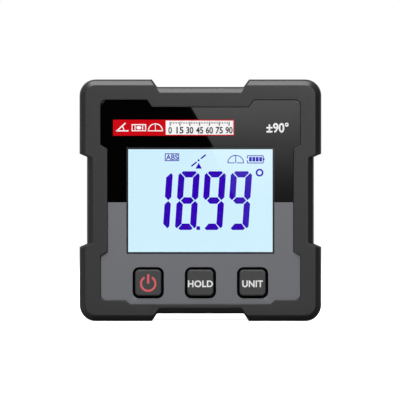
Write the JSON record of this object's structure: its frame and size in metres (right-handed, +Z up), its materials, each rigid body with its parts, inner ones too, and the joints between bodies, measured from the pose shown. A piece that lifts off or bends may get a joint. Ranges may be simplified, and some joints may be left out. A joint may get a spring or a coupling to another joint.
{
  "type": "digital angle gauge",
  "caption": "Square dark grey magnetic angle gauge with a backlit display, square keys along the bottom, recessed sides, and a battery door in the back.",
  "frame": {"origin": "middle of the base, on the plane of the bottom pads", "axes": "+X to the right seen from the front, +Y from the display towards the back, +Z up"},
  "size_m": [0.06, 0.028, 0.06],
  "materials": {
    "case": "fine grained dark grey moulding",
    "sheet": "printed face sheet, gloss black above and satin grey below",
    "label": "printed sticker, red and white",
    "pane": "clear acrylic",
    "glass": "liquid crystal cell, backlit",
    "key": "satin moulded key",
    "white_plastic": "white moulding or film",
    "guide": "clear acrylic light guide",
    "elastomer": "striped contact elastomer",
    "board": "green solder mask on glass epoxy",
    "chip": "moulded package",
    "led": "phosphor coated diode",
    "plunger": "switch plunger",
    "steel": "zinc plated screws, crystal can",
    "nickel": "nickel plated spring steel contacts",
    "magnet": "nickel plated magnet",
    "cell": "plain sleeved steel can"
  },
  "bodies": {
    "case": {"front_shell": "case", "rear_cover": "case", "face_overlay": "sheet", "label_strip": "label", "display_window": "pane", "display_front_glass": "glass", "display_rear_glass": "glass", "contact_strip": "elastomer", "diffuser_sheet": "white_plastic", "light_guide": "guide", "reflector_sheet": "white_plastic", "display_frame": "white_plastic", "main_board": "board", "controller_chip": "chip", "tilt_sensor": "chip", "crystal": "steel", "plus_contact": "nickel", "minus_contact": "nickel", "bridge_contact": "nickel", "cell_1": "cell", "spring_1": "nickel", "cell_2": "cell", "spring_2": "nickel", "backlight_1": "led", "switch_1": "chip", "backlight_2": "led", "switch_2": "chip", "backlight_3": "led", "switch_3": "chip", "board_screw_1": "steel", "case_screw_1": "steel", "board_screw_2": "steel", "case_screw_2": "steel", "board_screw_3": "steel", "case_screw_3": "steel", "board_screw_4": "steel", "case_screw_4": "steel", "magnet_1": "magnet", "magnet_2": "magnet", "magnet_3": "magnet", "magnet_4": "magnet", "magnet_5": "magnet", "magnet_6": "magnet", "magnet_7": "magnet", "magnet_8": "magnet"},
    "battery_door": {"battery_door": "case"},
    "power_key": {"power_key": "key", "plunger_1": "plunger"},
    "hold_key": {"hold_key": "key", "plunger_2": "plunger"},
    "unit_key": {"unit_key": "key", "plunger_3": "plunger"}
  },
  "joints": [
    {"name": "power_key_press", "type": "slide", "parent": "case", "child": "power_key", "axis": [0, 1, 0], "range_m": [0, 0.0005], "stiffness_N_per_m": 1000, "springref_m": -0.0003},
    {"name": "hold_key_press", "type": "slide", "parent": "case", "child": "hold_key", "axis": [0, 1, 0], "range_m": [0, 0.0005], "stiffness_N_per_m": 1000, "springref_m": -0.0003},
    {"name": "unit_key_press", "type": "slide", "parent": "case", "child": "unit_key", "axis": [0, 1, 0], "range_m": [0, 0.0005], "stiffness_N_per_m": 1000, "springref_m": -0.0003},
    {"name": "battery_door_tilt", "type": "hinge", "parent": "case", "child": "battery_door", "pos_m": [0, 0.0139, 0.01815], "axis": [-1, 0, 0], "range_deg": [0, 70]}
  ]
}
